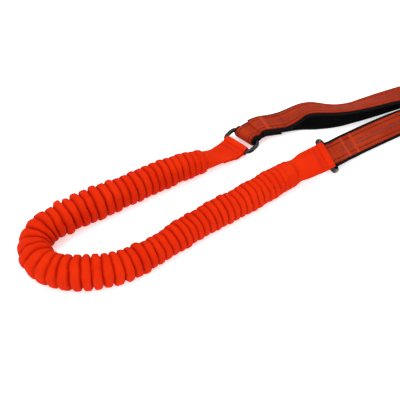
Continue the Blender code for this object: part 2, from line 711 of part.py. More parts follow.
def build():
    clear_scene()
    finishes = {
        "sleeve": material("orange_sleeve", (0.83, 0.025, 0.004), 0.85),
        "rubber": material("elastic_rubber", (0.55, 0.47, 0.33), 0.7),
        "safety": material("safety_polyester", (0.75, 0.75, 0.72), 0.8),
        "ring": material("black_steel", (0.012, 0.012, 0.013), 0.35, 1.0),
        "webbing": material("black_webbing", (0.010, 0.010, 0.011), 0.85),
        "tracer": material("tracer_webbing", (0.40, 0.032, 0.010), 0.85),
        "forging": material("forged_steel", (0.55, 0.55, 0.56), 0.35, 1.0),
        "plated": material("plated_steel", (0.62, 0.61, 0.58), 0.3, 1.0),
        "pin": material("rivet_steel", (0.45, 0.45, 0.46), 0.4, 1.0),
        "spring": material("spring_steel", (0.30, 0.30, 0.31), 0.4, 1.0),
    }
    root = empty("lanyard", (0, 0, 0))
    gathered_sleeve(finishes["sleeve"], root)
    sleeve_cores(finishes["rubber"], finishes["safety"], root)
    ring_a = (RING_A_MIDDLE, RING_A_HEADING, RING_A_ROLL, RING_A_FOLD)
    ring_b = (RING_B_MIDDLE, RING_B_HEADING, RING_B_ROLL, RING_B_FOLD)
    hook_a, hook_b = (HOOK_A_EYE, HOOK_A_HEADING), (HOOK_B_EYE, HOOK_B_HEADING)
    half_lanyard("a", ring_a, END_A_ROUTE, STRAP_A_ROUTE, hook_a, finishes, root)
    half_lanyard("b", ring_b, END_B_ROUTE, STRAP_B_ROUTE, hook_b, finishes, root)


build()
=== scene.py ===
"""Shock absorbing lanyard: gathered orange sleeve, black rings, tracer webbing straps and snap hooks."""

import math

import bmesh
import bpy
import numpy as np
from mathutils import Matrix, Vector


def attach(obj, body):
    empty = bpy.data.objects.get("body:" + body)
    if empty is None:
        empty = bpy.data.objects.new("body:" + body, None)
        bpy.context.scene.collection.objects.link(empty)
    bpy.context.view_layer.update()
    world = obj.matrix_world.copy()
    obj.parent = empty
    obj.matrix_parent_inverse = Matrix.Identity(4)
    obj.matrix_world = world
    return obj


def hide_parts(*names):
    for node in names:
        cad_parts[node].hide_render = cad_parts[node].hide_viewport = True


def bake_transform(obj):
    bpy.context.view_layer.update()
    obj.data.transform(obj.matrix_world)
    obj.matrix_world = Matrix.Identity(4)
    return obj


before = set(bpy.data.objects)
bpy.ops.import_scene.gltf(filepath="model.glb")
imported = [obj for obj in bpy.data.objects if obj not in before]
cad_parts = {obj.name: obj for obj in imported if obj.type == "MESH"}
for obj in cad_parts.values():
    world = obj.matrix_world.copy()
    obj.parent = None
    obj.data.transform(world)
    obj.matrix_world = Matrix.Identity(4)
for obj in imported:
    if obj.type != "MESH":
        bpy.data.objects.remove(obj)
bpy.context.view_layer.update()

# ---------------------------------------------------------------- sizes, in metres

# Gathered sleeve from end a, round the bend, to end b: x, y and outer diameter.
SLEEVE_ROUTE = [
    (-0.118, -0.0225, 0.0235), (-0.139, -0.0330, 0.0272), (-0.157, -0.0430, 0.0283),
    (-0.176, -0.0546, 0.0294), (-0.194, -0.0660, 0.0306), (-0.212, -0.0767, 0.0314),
    (-0.230, -0.0872, 0.0320), (-0.246, -0.0980, 0.0318), (-0.259, -0.1095, 0.0314),
    (-0.265, -0.1252, 0.0304), (-0.258, -0.1438, 0.0313), (-0.241, -0.1540, 0.0320),
    (-0.223, -0.1562, 0.0324), (-0.205, -0.1542, 0.0318), (-0.188, -0.1489, 0.0301),
    (-0.171, -0.1385, 0.0280), (-0.154, -0.1265, 0.0270), (-0.137, -0.1125, 0.0272),
    (-0.119, -0.0990, 0.0276), (-0.101, -0.0865, 0.0280), (-0.082, -0.0742, 0.0281),
    (-0.064, -0.0612, 0.0281), (-0.046, -0.0475, 0.0274), (-0.036, -0.0405, 0.0262),
]
SLEEVE_WALL = 0.0012
SLEEVE_TRAVEL = 0.150  # how far each half stretches; sleeve_half adds it to the cut length it works out
SLEEVE_SIDES = 72
SLEEVE_STEP = 0.0007
# Distance along the sleeve from its mouth at end a, and the ruffles' pitch and depth there.
RUFFLES = [
    (0.000, 0.0056, 0.0014), (0.006, 0.0058, 0.0022), (0.020, 0.0062, 0.0032),
    (0.050, 0.0072, 0.0040), (0.100, 0.0082, 0.0047), (0.150, 0.0085, 0.0050),
    (0.200, 0.0088, 0.0051), (0.250, 0.0086, 0.0049), (0.300, 0.0079, 0.0045),
    (0.350, 0.0070, 0.0041), (0.410, 0.0067, 0.0035), (0.450, 0.0064, 0.0027),
    (0.475, 0.0058, 0.0018), (0.485, 0.0056, 0.0005),
]
BEND_DISTANCE = 0.192  # along the sleeve to the middle of its bend

END_A_ROUTE = [(-0.1050, -0.0154, 0.0106, -3, 0.0212, 0.0046)]
END_B_ROUTE = [(-0.0235, -0.0366, 0.0192, 18, 0.0266, 0.0050)]
END_WIDTH, END_THICKNESS, END_TAIL = 0.0265, 0.0024, 0.024
END_STEP = 0.0012
END_LEAD = 0.012
END_SIDES = 40
TAIL_SHARE = 0.9  # the tucked tail's width, of the end above it

RING_WIRE = 0.0042
RING_INNER_LONG, RING_INNER_SHORT = 0.0285, 0.0120
RING_CORNER = 0.0054
BAR_SPACING = RING_INNER_SHORT + RING_WIRE
RINGS = {  # middle, heading, roll and fold
    "a": ((-0.0792, 0.0087, 0.0077), 46, -4, -8),
    "b": ((0.0011, -0.0215, 0.0180), 32.5, 28, 46),
}

WEBBING_WIDTH, WEBBING_THICKNESS = 0.0260, 0.0020
TRACER_WIDTH, TRACER_THICKNESS = 0.0210, 0.0008
STRAP_TAIL = 0.028
GAP, BAR_CLEARANCE = 0.0003, 0.0008
STRAP_STEP = 0.0025
STRAP_A_ROUTE = [
    (-0.0600, 0.0262, 0.0095, -4), (-0.0510, 0.0300, 0.0079, -3), (-0.0400, 0.0343, 0.0058, -2),
    (-0.0290, 0.0389, 0.0038, -1), (-0.0180, 0.0425, 0.0020, 0), (-0.0030, 0.0440, 0.0011, 0),
    (0.0160, 0.0472, 0.0011, 0), (0.0340, 0.0535, 0.0011, 0), (0.0520, 0.0605, 0.0011, 0),
    (0.0720, 0.0690, 0.0011, 0), (0.0920, 0.0778, 0.0011, 0), (0.1120, 0.0868, 0.0016, 0),
    (0.1300, 0.0950, 0.0040, 0), (0.1420, 0.1006, 0.0064, 0),
]
STRAP_B_ROUTE = [
    (0.0190, -0.0055, 0.0118, 28), (0.0270, 0.0008, 0.0100, 28), (0.0450, 0.0123, 0.0092, 28),
    (0.0600, 0.0218, 0.0082, 27), (0.0740, 0.0302, 0.0076, 24), (0.0890, 0.0388, 0.0068, 18),
    (0.1050, 0.0466, 0.0056, 11), (0.1220, 0.0526, 0.0046, 5), (0.1350, 0.0558, 0.0054, 1),
    (0.1440, 0.0573, 0.0066, 0),
]
HANDLE_PROFILE = [  # distance along strap a, lift, lean to the right and roll
    (0.000, 0.0000, 0.0000, 0), (0.034, 0.0000, 0.0000, 0), (0.044, 0.0040, 0.0000, -3),
    (0.054, 0.0110, 0.0000, -7), (0.064, 0.0152, 0.0008, -12), (0.076, 0.0146, 0.0025, -18),
    (0.090, 0.0130, 0.0045, -22), (0.106, 0.0118, 0.0060, -22), (0.124, 0.0105, 0.0050, -16),
    (0.142, 0.0080, 0.0030, -12), (0.164, 0.0050, 0.0015, -8), (0.182, 0.0012, 0.0000, -2),
    (0.190, 0.0000, 0.0000, 0), (0.260, 0.0000, 0.0000, 0),
]
HANDLE_START, HANDLE_END = 0.003, 0.212
# Along each strap from its ring: the thick bar tacks, and where the box of dark stitches runs.
TACKS = {"a": (0.010, 0.196), "b": (0.0085, 0.0215, 0.1500)}
BOXES = {"a": (0.015, 0.030), "b": (0.125, 0.146)}

COVER_GAP = 0.0015  # between the handle's cut end and the strap's own tracer
LOOP_STATIONS = 30  # of the path round a hook's eye, covered by the tracer
YARN_ASIDE, SIDE_YARN_ASIDE, HEM_ASIDE = 0.0016, 0.0068, 0.0096
YARN_RUNS = [(0.002, 0.009), (0.013, 0.022)]  # short runs of middle yarn before the long one
TACK_HALF, BOX_HALF = 0.0098, 0.0084
END_ROWS = (0.0075, 0.0095)  # two rows of stitches, this far from the ring's bar
END_ROW_HALF = 0.0100

HOOKS = {"a": ((0.1630, 0.1088, 0.0082), 25), "b": ((0.1640, 0.0585, 0.0082), 3)}
HOOK_THICKNESS = 0.008
EYE_LENGTH, EYE_SLOT_LENGTH = 0.022, 0.010
FORGING_VOXEL, PRESSING_VOXEL, KEPT_FACES = 0.0005, 0.0003, 0.4

# ---------------------------------------------------------------- camera, light and floor


def camera():
    view = bpy.data.cameras.new("camera")
    view.lens, view.sensor_width = 76.5, 36
    view.clip_start, view.clip_end = 0.02, 20
    thing = bpy.data.objects.new("camera", view)
    thing.location = (-0.120, -0.5746, 0.6118)
    tilt = math.radians(50)
    thing.rotation_mode = "QUATERNION"
    thing.rotation_quaternion = Vector((0, math.cos(tilt), -math.sin(tilt))).to_track_quat("-Z", "Y")
    bpy.context.scene.collection.objects.link(thing)
    bpy.context.scene.camera = thing


def softbox(name, place, target, size, power):
    lamp = bpy.data.lights.new(name, "AREA")
    lamp.shape, lamp.size, lamp.size_y = "RECTANGLE", *size
    lamp.energy = power
    thing = bpy.data.objects.new(name, lamp)
    thing.location = place
    thing.rotation_mode = "QUATERNION"
    thing.rotation_quaternion = (Vector(target) - Vector(place)).to_track_quat("-Z", "Y")
    bpy.context.scene.collection.objects.link(thing)


def studio():
    bpy.context.scene.view_settings.view_transform = "Standard"
    world = bpy.data.worlds.new("studio")
    bpy.context.scene.world = world
    world.use_nodes = True
    world.node_tree.nodes["Background"].inputs["Color"].default_value = (1, 1, 1, 1)
    world.node_tree.nodes["Background"].inputs["Strength"].default_value = 0.62
    softbox("overhead", (-0.1, 0.25, 1.3), (0, 0, 0), (1.3, 1.0), 15)
    softbox("front", (-0.7, -1.1, 0.9), (-0.05, 0, 0), (0.9, 0.7), 10)
    softbox("side", (1.3, -0.3, 0.8), (0, 0, 0), (0.6, 0.6), 5)

    mesh = bpy.data.meshes.new("floor")
    half = 6.0
    corners = [(-half, -half, 0), (half, -half, 0), (half, half, 0), (-half, half, 0)]
    mesh.from_pydata(corners, [], [(0, 1, 2, 3)])
    paper = bpy.data.materials.new("pale_paper")
    paper.use_nodes = True
    shader = paper.node_tree.nodes["Principled BSDF"]
    shader.inputs["Base Color"].default_value = (0.93, 0.93, 0.93, 1)
    shader.inputs["Roughness"].default_value = 0.9
    shader.inputs["Emission Color"].default_value = (1, 1, 1, 1)
    shader.inputs["Emission Strength"].default_value = 0.42
    mesh.materials.append(paper)
    floor = bpy.data.objects.new("floor", mesh)
    bpy.context.scene.collection.objects.link(floor)


# ---------------------------------------------------------------- routes and directions


def through(route, step):
    """Points about a step apart on a smooth curve through the route's points, in all their columns."""
    knots = np.array(route, float)
    gaps = np.linalg.norm(np.diff(knots[:, :2], axis=0), axis=1)
    along = np.concatenate([[0], np.cumsum(gaps)])
    slopes = np.gradient(knots, along, axis=0)
    stations = np.linspace(0, along[-1], max(2, round(along[-1] / step) + 1))
    i = np.minimum(np.searchsorted(along, stations, side="right") - 1, len(knots) - 2)
    h = (along[i + 1] - along[i])[:, None]
    t = (stations - along[i])[:, None] / h
    return (
        (2 * t**3 - 3 * t**2 + 1) * knots[i]
        + (t**3 - 2 * t**2 + t) * h * slopes[i]
        + (3 * t**2 - 2 * t**3) * knots[i + 1]
        + (t**3 - t**2) * h * slopes[i + 1]
    )


def distances(points):
    return np.concatenate([[0], np.cumsum(np.linalg.norm(np.diff(points, axis=0), axis=1))])


def tangents(points):
    run = np.gradient(np.array(points, float), axis=0)
    return run / np.linalg.norm(run, axis=1)[:, None]


def width_direction(run, roll):
    """Across a ribbon, to the right of its run; a positive roll lowers that edge."""
    right = np.cross(run, (0, 0, 1))
    right /= np.linalg.norm(right)
    upward = np.cross(right, run)
    angle = math.radians(roll)
    return math.cos(angle) * right - math.sin(angle) * upward


def smooth(values, passes):
    made = np.array(values, float)
    for _ in range(passes):
        made[1:-1] = (made[:-2] + 2 * made[1:-1] + made[2:]) / 4
    return made


# ---------------------------------------------------------------- mesh making


def piece(name, points, faces, finish, uv=None, attributes=None):
    """A smooth shaded object with its place in its mesh, its own UV map and named point attributes."""
    mesh = bpy.data.meshes.new(name)
    mesh.from_pydata([tuple(p) for p in points], [], faces)
    if uv is not None:
        layer = mesh.uv_layers.new(name="UVMap")
        corners = np.empty(len(mesh.loops), int)
        mesh.loops.foreach_get("vertex_index", corners)
        layer.data.foreach_set("uv", np.array(uv, float)[corners].ravel())
    for key, values in (attributes or {}).items():
        values = np.array(values, float)
        kind = "FLOAT_VECTOR" if values.ndim == 2 else "FLOAT"
        made = mesh.attributes.new(key, kind, "POINT")
        made.data.foreach_set("vector" if values.ndim == 2 else "value", values.ravel())
    mesh.polygons.foreach_set("use_smooth", [True] * len(mesh.polygons))
    mesh.materials.append(finish)
    thing = bpy.data.objects.new(name, mesh)
    bpy.context.scene.collection.objects.link(thing)
    return thing


def outward(thing):
    work = bmesh.new()
    work.from_mesh(thing.data)
    bmesh.ops.recalc_face_normals(work, faces=work.faces)
    work.to_mesh(thing.data)
    work.free()
    return thing


def grid_faces(rows, columns, closed_rows=False):
    """Quads between rows of points that each close on themselves."""
    faces = []
    for i in range(rows if closed_rows else rows - 1):
        for j in range(columns):
            k = (j + 1) % columns
            a, b = i * columns, (i + 1) % rows * columns
            faces.append((a + j, a + k, b + k, b + j))
    return faces


def baked(thing):
    """The object with its modifiers turned into plain mesh."""
    bpy.context.view_layer.update()
    ready = thing.evaluated_get(bpy.context.evaluated_depsgraph_get())
    mesh = bpy.data.meshes.new_from_object(ready)
    thing.modifiers.clear()
    old = thing.data
    thing.data = mesh
    name = old.name
    bpy.data.meshes.remove(old)
    mesh.name = name
    return thing


# ---------------------------------------------------------------- node trees


class Wiring:
    """Short ways to add and join nodes in one tree."""

    def __init__(self, tree):
        self.tree = tree

    def add(self, kind, inputs=None, **settings):
        node = self.tree.nodes.new(kind)
        for key, value in settings.items():
            setattr(node, key, value)
        for key, value in (inputs or {}).items():
            socket = node.inputs[key]
            if isinstance(value, bpy.types.NodeSocket):
                self.tree.links.new(value, socket)
            else:
                socket.default_value = value
        return node

    def math(self, operation, *values):
        kind = "ShaderNodeMath"
        return self.add(kind, dict(enumerate(values)), operation=operation).outputs[0]

    def vector(self, operation, *values):
        node = self.add("ShaderNodeVectorMath", dict(enumerate(values)), operation=operation)
        return node.outputs["Value" if operation in ("DOT_PRODUCT", "LENGTH") else "Vector"]

    def remap(self, value, low, high, to_low=0.0, to_high=1.0, smooth=False):
        kind = "SMOOTHSTEP" if smooth else "LINEAR"
        inputs = {"Value": value, "From Min": low, "From Max": high, "To Min": to_low, "To Max": to_high}
        return self.add("ShaderNodeMapRange", inputs, interpolation_type=kind).outputs["Result"]

    def named(self, name, kind="FLOAT"):
        node = self.add("GeometryNodeInputNamedAttribute", data_type=kind)
        node.inputs["Name"].default_value = name
        return node.outputs["Attribute"]


def geometry_tree(name, inputs):
    """A geometry node tree with named inputs, its wiring, its input node and its output node."""
    tree = bpy.data.node_groups.new(name, "GeometryNodeTree")
    tree.interface.new_socket("Geometry", in_out="INPUT", socket_type="NodeSocketGeometry")
    for key, kind in inputs.items():
        tree.interface.new_socket(key, in_out="INPUT", socket_type=kind)
    tree.interface.new_socket("Geometry", in_out="OUTPUT", socket_type="NodeSocketGeometry")
    wiring = Wiring(tree)
    return tree, wiring, wiring.add("NodeGroupInput"), wiring.add("NodeGroupOutput")


def use_tree(thing, tree, values):
    change = thing.modifiers.new(tree.name, "NODES")
    change.node_group = tree
    for item in tree.interface.items_tree:
        if item.item_type == "SOCKET" and item.in_out == "INPUT" and item.name in values:
            change[item.identifier] = values[item.name]
    return baked(thing)


def gathering_tree():
    """Presses a plain tube into ruffles: deep narrow grooves between round ridges of uneven height. It also
    stores fold, a mask of painted shade that is strongest deep in each groove.
    """
    tree, w, given, out = geometry_tree(
        "gathering",
        {
            "Sway": "NodeSocketFloat", "Unevenness": "NodeSocketFloat", "Roundness": "NodeSocketFloat",
            "Groove Width": "NodeSocketFloat", "Pucker": "NodeSocketFloat", "Finish": "NodeSocketMaterial",
        },
    )
    place = w.add("GeometryNodeInputPosition").outputs[0]
    middle, count, depth = w.named("middle", "FLOAT_VECTOR"), w.named("ruffle"), w.named("depth")
    radial = w.vector("NORMALIZE", w.vector("SUBTRACT", place, middle))
    broad = w.add("ShaderNodeTexNoise", {"Vector": place, "Scale": 55.0, "Detail": 1.0}).outputs[0]
    drift = w.math("MULTIPLY", w.math("SUBTRACT", broad, 0.5), given.outputs["Sway"])
    number = w.math("ADD", count, drift)
    share = w.math("FRACT", number)
    from_top = w.math("ABSOLUTE", w.math("SUBTRACT", w.math("MULTIPLY", share, 2.0), 1.0))
    ridge = w.math("SUBTRACT", 1.0, w.math("POWER", from_top, given.outputs["Roundness"]))
    ridge = w.math("POWER", w.math("MAXIMUM", ridge, 0.0), 0.55)
    edge = w.math("SUBTRACT", 1.0, from_top)
    groove = w.math("DIVIDE", edge, given.outputs["Groove Width"])
    groove = w.math("EXPONENT", w.math("MULTIPLY", w.math("MULTIPLY", groove, groove), -1.0))
    own = w.add("ShaderNodeTexWhiteNoise", {"W": w.math("FLOOR", number)}, noise_dimensions="1D").outputs[0]
    patch = w.add("ShaderNodeTexNoise", {"Vector": place, "Scale": 90.0, "Detail": 0.0}).outputs[0]
    uneven = w.math("ADD", w.math("SUBTRACT", own, 0.6), w.math("SUBTRACT", patch, 0.5))
    uneven = w.math("MULTIPLY", w.math("MULTIPLY", uneven, given.outputs["Unevenness"]), ridge)
    fine = w.add("ShaderNodeTexNoise", {"Vector": place, "Scale": 420.0, "Detail": 2.0}).outputs[0]
    fine = w.math("MULTIPLY", w.math("SUBTRACT", fine, 0.5), given.outputs["Pucker"])
    drop = w.math("MULTIPLY", w.math("SUBTRACT", ridge, 1.0), 0.62)
    drop = w.math("SUBTRACT", drop, w.math("MULTIPLY", groove, 0.38))
    push = w.math("MULTIPLY", w.math("ADD", drop, uneven), depth)
    push = w.math("ADD", push, w.math("MULTIPLY", fine, w.named("outer")))
    shift = w.add("ShaderNodeVectorMath", {0: radial, "Scale": push}, operation="SCALE").outputs[0]
    moved = w.add("GeometryNodeSetPosition", {"Geometry": given.outputs["Geometry"], "Offset": shift})
    # fold: painted shade mask, 0 on the ridges and up to 1 deep in the grooves, weaker where the ruffles are
    # shallow
    fold = w.math("MULTIPLY", w.math("MULTIPLY", drop, -1.0), w.remap(depth, 0.0, 0.0025))
    stored = w.add(
        "GeometryNodeStoreNamedAttribute",
        {"Geometry": moved.outputs[0], "Name": "fold", "Value": fold},
        data_type="FLOAT", domain="POINT",
    )
    real = w.add("GeometryNodeRealizeInstances", {"Geometry": stored.outputs[0]})
    done = w.add(
        "GeometryNodeSetMaterial", {"Geometry": real.outputs[0], "Material": given.outputs["Finish"]}
    )
    tree.links.new(done.outputs[0], out.inputs["Geometry"])
    return tree


def stitching_tree():
    """Lays short rounded threads end to end along lines, flat against the cloth they are sewn in."""
    tree, w, given, out = geometry_tree(
        "stitching",
        {
            "Pitch": "NodeSocketFloat", "Length": "NodeSocketFloat", "Width": "NodeSocketFloat",
            "Height": "NodeSocketFloat", "Keep": "NodeSocketFloat", "Seed": "NodeSocketInt",
            "Finish": "NodeSocketMaterial",
        },
    )
    line = w.add("GeometryNodeMeshToCurve", {"Mesh": given.outputs["Geometry"]}).outputs[0]
    spots = w.add("GeometryNodeResampleCurve", {"Curve": line}, mode="LENGTH")
    tree.links.new(given.outputs["Pitch"], spots.inputs["Length"])
    upward, onward = w.named("up", "FLOAT_VECTOR"), w.add("GeometryNodeInputTangent").outputs[0]
    aim = w.add(
        "FunctionNodeAxesToRotation",
        {"Primary Axis": upward, "Secondary Axis": onward},
        primary_axis="Z", secondary_axis="X",
    ).outputs[0]
    thread = w.add("GeometryNodeMeshUVSphere", {"Segments": 8, "Rings": 5, "Radius": 0.5}).outputs[0]
    size = w.add(
        "ShaderNodeCombineXYZ",
        {"X": given.outputs["Length"], "Y": given.outputs["Width"], "Z": given.outputs["Height"]},
    ).outputs[0]
    thread = w.add("GeometryNodeTransform", {"Geometry": thread, "Scale": size}).outputs[0]
    chance = w.add("FunctionNodeRandomValue", data_type="BOOLEAN")
    tree.links.new(given.outputs["Keep"], chance.inputs["Probability"])
    tree.links.new(given.outputs["Seed"], chance.inputs["Seed"])
    laid = w.add(
        "GeometryNodeInstanceOnPoints",
        {"Points": spots.outputs[0], "Instance": thread, "Rotation": aim,
         "Selection": chance.outputs[3]},
    ).outputs[0]
    real = w.add("GeometryNodeRealizeInstances", {"Geometry": laid}).outputs[0]
    round_ = w.add("GeometryNodeSetShadeSmooth", {"Geometry": real}).outputs[0]
    done = w.add("GeometryNodeSetMaterial", {"Geometry": round_, "Material": given.outputs["Finish"]})
    tree.links.new(done.outputs[0], out.inputs["Geometry"])
    return tree


# ---------------------------------------------------------------- finishes


def finish(name, roughness, metallic=0.0, gloss=0.5):
    made = bpy.data.materials.new(name)
    made.use_nodes = True
    shader = made.node_tree.nodes["Principled BSDF"]
    shader.inputs["Roughness"].default_value = roughness
    shader.inputs["Metallic"].default_value = metallic
    shader.inputs["Specular IOR Level"].default_value = gloss
    return made, Wiring(made.node_tree), shader


def colour(w, shader, low, high, share):
    mix = w.add("ShaderNodeMix", data_type="RGBA", inputs={"Factor": share})
    mix.inputs[6].default_value, mix.inputs[7].default_value = (*low, 1), (*high, 1)
    w.tree.links.new(mix.outputs[2], shader.inputs["Base Color"])


def mixed(w, first, second, share):
    mix = w.add("ShaderNodeMix", data_type="RGBA", inputs={"Factor": share})
    for socket, value in ((mix.inputs[6], first), (mix.inputs[7], second)):
        if isinstance(value, bpy.types.NodeSocket):
            w.tree.links.new(value, socket)
        else:
            socket.default_value = (*value, 1)
    return mix.outputs[2]


def weave(w, shader, across, along, depth, strength, relief=None):
    """Bump of a plain weave from the UV map in metres: threads of the given pitches."""
    uv = w.add("ShaderNodeUVMap", uv_map="UVMap").outputs[0]
    parts = w.add("ShaderNodeSeparateXYZ", {"Vector": uv})
    wave = [
        w.math("SINE", w.math("MULTIPLY", parts.outputs[k], 2 * math.pi / pitch))
        for k, pitch in ((0, across), (1, along))
    ]
    height = w.math("MULTIPLY", wave[0], wave[1])
    if relief is not None:
        height = w.math("ADD", height, relief)
    bump = w.add("ShaderNodeBump", {"Height": height, "Strength": strength, "Distance": depth})
    w.tree.links.new(bump.outputs[0], shader.inputs["Normal"])
    return parts, height


def gathered_polyester():
    made, w, shader = finish("gathered_polyester", 0.8, gloss=0.04)
    fold = w.add("ShaderNodeAttribute", attribute_name="fold", attribute_type="GEOMETRY").outputs["Fac"]
    place = w.add("ShaderNodeTexCoord").outputs["Object"]
    cloudy = w.add("ShaderNodeTexNoise", {"Vector": place, "Scale": 45.0, "Detail": 3.0}).outputs[0]
    fuzz = w.add("ShaderNodeTexNoise", {"Vector": place, "Scale": 1500.0, "Detail": 2.0}).outputs[0]
    _, height = weave(w, shader, 0.0011, 0.0008, 0.00012, 0.55, relief=w.math("MULTIPLY", fuzz, 0.8))
    plain = mixed(w, (0.53, 0.0155, 0.0006), (0.61, 0.0245, 0.0016), w.remap(cloudy, 0.3, 0.7))
    thread = mixed(w, (0.47, 0.012, 0.0005), plain, w.remap(height, -0.8, 0.6))
    # Painted shade: the cloth turns this deep red where the fold mask marks a groove.
    deep = mixed(w, thread, (0.37, 0.003, 0.0005), w.remap(fold, 0.20, 0.95, smooth=True))
    w.tree.links.new(deep, shader.inputs["Base Color"])
    return made


def black_webbing():
    made, w, shader = finish("black_webbing", 0.75, gloss=0.05)
    place = w.add("ShaderNodeTexCoord").outputs["Object"]
    fuzz = w.add("ShaderNodeTexNoise", {"Vector": place, "Scale": 1300.0, "Detail": 2.0}).outputs[0]
    _, height = weave(w, shader, 0.0019, 0.0022, 0.00030, 0.8, relief=w.math("MULTIPLY", fuzz, 0.5))
    colour(w, shader, (0.0010, 0.0010, 0.0012), (0.006, 0.006, 0.007), w.remap(height, -0.9, 1.2))
    return made


def tracer_webbing():
    """Dull orange webbing: fine cross ribs and darker warp lines, two on each side of the middle towards the
    edges.
    """
    made, w, shader = finish("tracer_webbing", 0.75, gloss=0.04)
    place = w.add("ShaderNodeTexCoord").outputs["Object"]
    fuzz = w.add("ShaderNodeTexNoise", {"Vector": place, "Scale": 1300.0, "Detail": 2.0}).outputs[0]
    cloudy = w.add("ShaderNodeTexNoise", {"Vector": place, "Scale": 60.0, "Detail": 2.0}).outputs[0]
    parts, height = weave(w, shader, 0.0013, 0.0016, 0.00026, 0.8, relief=w.math("MULTIPLY", fuzz, 0.6))
    base = mixed(w, (0.31, 0.024, 0.0040), (0.43, 0.038, 0.0080), w.remap(cloudy, 0.3, 0.7))
    base = mixed(w, (0.20, 0.012, 0.004), base, w.remap(height, -0.9, 0.7))
    side = w.math("ABSOLUTE", parts.outputs[0])
    width = 0.0007
    for offset, tone in ((0.0068, (0.11, 0.013, 0.008)), (0.0098, (0.12, 0.009, 0.004))):
        near = w.math("ABSOLUTE", w.math("SUBTRACT", side, offset))
        base = mixed(w, tone, base, w.remap(near, width * 0.4, width, smooth=True))
    w.tree.links.new(base, shader.inputs["Base Color"])
    return made


def thread(name, tone, roughness=0.6):
    made, w, shader = finish(name, roughness, gloss=0.12)
    place = w.add("ShaderNodeTexCoord").outputs["Object"]
    strand = w.add("ShaderNodeTexNoise", {"Vector": place, "Scale": 2500.0, "Detail": 2.0}).outputs[0]
    dark = tuple(c * 0.5 for c in tone)
    colour(w, shader, dark, tone, w.remap(strand, 0.3, 0.6))
    return made


def metal(name, tone, roughness, metallic, grain):
    """Metal with fine casting grain and uneven gloss."""
    made, w, shader = finish(name, roughness, metallic)
    place = w.add("ShaderNodeTexCoord").outputs["Object"]
    rough = w.add("ShaderNodeTexNoise", {"Vector": place, "Scale": 140.0, "Detail": 5.0}).outputs[0]
    fine = w.add("ShaderNodeTexNoise", {"Vector": place, "Scale": 1800.0, "Detail": 3.0}).outputs[0]
    base = mixed(w, tuple(c * 0.8 for c in tone), tone, w.remap(rough, 0.35, 0.6))
    w.tree.links.new(base, shader.inputs["Base Color"])
    w.tree.links.new(w.remap(rough, 0.3, 0.7, roughness * 0.8, roughness * 1.3), shader.inputs["Roughness"])
    bump = w.add("ShaderNodeBump", {"Height": fine, "Strength": grain, "Distance": 0.0001})
    w.tree.links.new(bump.outputs[0], shader.inputs["Normal"])
    return made


# ---------------------------------------------------------------- the gathered sleeve


def sleeve_line(step):
    rows = through(SLEEVE_ROUTE, step)
    return np.column_stack([rows[:, 0], rows[:, 1], rows[:, 2] / 2]), rows[:, 2]


def sleeve_half(side, tree, cloth):
    """Half of the sleeve as a thin walled tube, gathered by the tree; the halves meet in a groove."""
    middles, diameters = sleeve_line(SLEEVE_STEP)
    along = distances(middles)
    ruffles = np.array(RUFFLES)
    ruffles[:, 0] *= along[-1] / ruffles[-1, 0]
    pitch = np.interp(along, ruffles[:, 0], ruffles[:, 1])
    depth = smooth(np.interp(along, ruffles[:, 0], ruffles[:, 2]), 200)
    number = np.concatenate([[0], np.cumsum(np.diff(along) / ((pitch[1:] + pitch[:-1]) / 2))])
    split = np.argmin(np.abs(along - BEND_DISTANCE))
    number -= number[split] - round(number[split])
    part = slice(0, split + 1) if side == "a" else slice(split, None)
    runs = tangents(middles)[part]
    middles, radii = middles[part], diameters[part] / 2
    number, depth, along = number[part], depth[part], along[part]
    count = len(middles)
    across = np.array([width_direction(run, 0) for run in runs])
    upward = np.cross(across, runs)
    turns = 2 * math.pi * np.arange(SLEEVE_SIDES) / SLEEVE_SIDES
    points, middle, ruffle, deep, outer, uv = [], [], [], [], [], []
    for i, radius, is_outer in [(i, radii[i], 1.0) for i in range(count)] + [
        (i, radii[i] - SLEEVE_WALL, 0.0) for i in range(count - 1, -1, -1)
    ]:
        ring = middles[i] + radius * (np.cos(turns)[:, None] * across[i] + np.sin(turns)[:, None] * upward[i])
        points.append(ring)
        middle.append(np.repeat(middles[i][None], SLEEVE_SIDES, 0))
        ruffle.append(np.full(SLEEVE_SIDES, number[i]))
        deep.append(np.full(SLEEVE_SIDES, depth[i]))
        outer.append(np.full(SLEEVE_SIDES, is_outer))
        uv.append(np.column_stack([turns * radii[i], np.full(SLEEVE_SIDES, along[i])]))
    made = piece(
        f"gathered_sleeve_{side}",
        np.concatenate(points),
        grid_faces(len(points), SLEEVE_SIDES, closed_rows=True),
        cloth,
        uv=np.concatenate(uv),
        attributes={
            "middle": np.concatenate(middle), "ruffle": np.concatenate(ruffle),
            "depth": np.concatenate(deep), "outer": np.concatenate(outer),
        },
    )
    outward(made)
    use_tree(
        made,
        tree,
        {
            "Sway": 0.55, "Unevenness": 0.38, "Roundness": 3.4, "Groove Width": 0.24,
            "Pucker": 0.0006, "Finish": cloth,
        },
    )
    cut = (math.pi * diameters[part].mean(), along[-1] - along[0] + SLEEVE_TRAVEL)
    return made, middles, cut


def gathered_sleeve(cloth):
    tree = gathering_tree()
    for side in ("a", "b"):
        made, middles, cut = sleeve_half(side, tree, cloth)
        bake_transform(made)
        if side == "a":
            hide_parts("gathered_sleeve")


# ---------------------------------------------------------------- flat ends of the sleeve


def ring_frame(side):
    """The ring's middle, its long direction, the way from bar to bar, and the strap's run."""
    middle, heading, roll, fold = RINGS[side]
    run = np.array([math.cos(math.radians(heading)), math.sin(math.radians(heading)), 0])
    across = width_direction(run, roll)
    normal = np.cross(across, run)
    angle = math.radians(fold)
    return np.array(middle), across, math.cos(angle) * run - math.sin(angle) * normal, run


